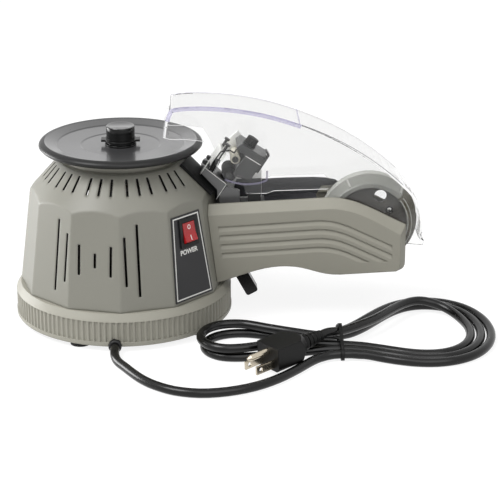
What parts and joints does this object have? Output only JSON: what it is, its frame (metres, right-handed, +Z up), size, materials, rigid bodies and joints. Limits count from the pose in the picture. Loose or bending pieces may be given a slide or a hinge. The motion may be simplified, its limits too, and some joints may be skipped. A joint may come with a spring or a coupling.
{
  "type": "electric tape dispenser",
  "caption": "Table tape dispenser: a powered carousel on a faceted housing, an arm with a tape reel, a cutter head under a clear swing-up cover, a rocker switch and a coiled mains cord.",
  "frame": {"origin": "on the floor, under the middle of the dispenser without its cord", "axes": "+X along the arm towards the reel, +Y to the back, +Z up; the switch faces -Y"},
  "size_m": [0.3735, 0.2581, 0.1744],
  "materials": {
    "warm_grey": "fine moulded grain",
    "dark_grey": "satin",
    "black_gloss": "polished",
    "black_satin": "satin",
    "black_rubber": "matte",
    "label_black": "printed film",
    "label_white": "printed film",
    "rocker_red": "polished",
    "steel": "brushed",
    "bronze": "sintered",
    "motor_grey": "satin",
    "board_green": "lacquered",
    "reel_grey": "satin",
    "clear": "clear acrylic",
    "white_roller": "satin",
    "cord_black": "satin vinyl",
    "tie_black": "satin",
    "nickel": "bright"
  },
  "bodies": {
    "base": {"base_ring": "warm_grey", "main_housing": "warm_grey", "arm_front_shell": "warm_grey", "arm_rear_shell": "warm_grey", "arm_core": "dark_grey", "arm_deck": "dark_grey", "cutter_base": "dark_grey", "cutter_frame": "dark_grey", "cutter_cap": "dark_grey", "cover_pivots": "dark_grey", "thumb_screw": "black_gloss", "axle_nut": "black_gloss", "base_plate": "black_satin", "switch_frame": "black_satin", "shoulder_guide": "black_satin", "guide_rods": "black_satin", "bent_bracket": "black_satin", "cord_gland": "black_satin", "rubber_feet": "black_rubber", "cover_rests": "black_rubber", "label_plate": "label_black", "label_border": "label_white", "motor_plate": "steel", "cutter_cheek": "steel", "roller_pins": "steel", "blade_springs": "steel", "reel_axle": "steel", "reel_washer": "steel", "lever_pin": "steel", "lever_collars": "steel", "spindle_bearing": "bronze", "gearbox": "motor_grey", "motor_body": "motor_grey", "feed_motor": "motor_grey", "control_board": "board_green", "cord_lead": "cord_black", "cord_hank": "cord_black", "plug_relief": "cord_black", "plug_body": "cord_black", "cord_tie": "tie_black", "plug_blades": "nickel", "plug_earth": "nickel"},
    "carousel": {"turntable": "dark_grey", "turntable_knob": "black_gloss", "knob_clip": "black_gloss", "spindle": "steel"},
    "rocker": {"power_rocker": "rocker_red"},
    "reel": {"tape_reel": "reel_grey"},
    "cover": {"clear_cover": "clear"},
    "feed_roller": {"feed_roller": "black_rubber"},
    "press_roller": {"press_roller": "white_roller"},
    "blade": {"blade_carrier": "dark_grey", "cutter_blade": "steel"},
    "lever": {"thumb_lever": "black_gloss"}
  },
  "joints": [
    {"name": "carousel_spin", "type": "hinge", "parent": "base", "child": "carousel", "pos_m": [-0.07558, 0, 0.139], "axis": [0, 0, 1], "continuous": true},
    {"name": "reel_spin", "type": "hinge", "parent": "base", "child": "reel", "pos_m": [0.11842, 0, 0.0765], "axis": [0, 1, 0], "continuous": true},
    {"name": "cover_swing", "type": "hinge", "parent": "base", "child": "cover", "pos_m": [0.11842, 0, 0.0765], "axis": [0, 1, 0], "range_deg": [0, 75]},
    {"name": "rocker_tilt", "type": "hinge", "parent": "base", "child": "rocker", "pos_m": [-0.02454, -0.05103, 0.08425], "axis": [0.7071, 0.7071, 0], "range_deg": [0, 14]},
    {"name": "lever_swing", "type": "hinge", "parent": "base", "child": "lever", "pos_m": [0.00922, 0, 0.048], "axis": [0, 1, 0], "range_deg": [-18, 0], "stiffness_Nm_per_rad": 0.05, "springref_deg": 8.59},
    {"name": "blade_slide", "type": "slide", "parent": "base", "child": "blade", "axis": [-0.5446, 0, -0.8387], "range_m": [0, 0.005], "stiffness_N_per_m": 150, "springref_m": -0.003, "deforming": ["blade_springs"]},
    {"name": "feed_roller_spin", "type": "hinge", "parent": "base", "child": "feed_roller", "pos_m": [0.00816, 0, 0.11644], "axis": [0, 1, 0], "continuous": true},
    {"name": "press_roller_spin", "type": "hinge", "parent": "base", "child": "press_roller", "pos_m": [0.01302, 0, 0.12926], "axis": [0, 1, 0], "continuous": true}
  ]
}
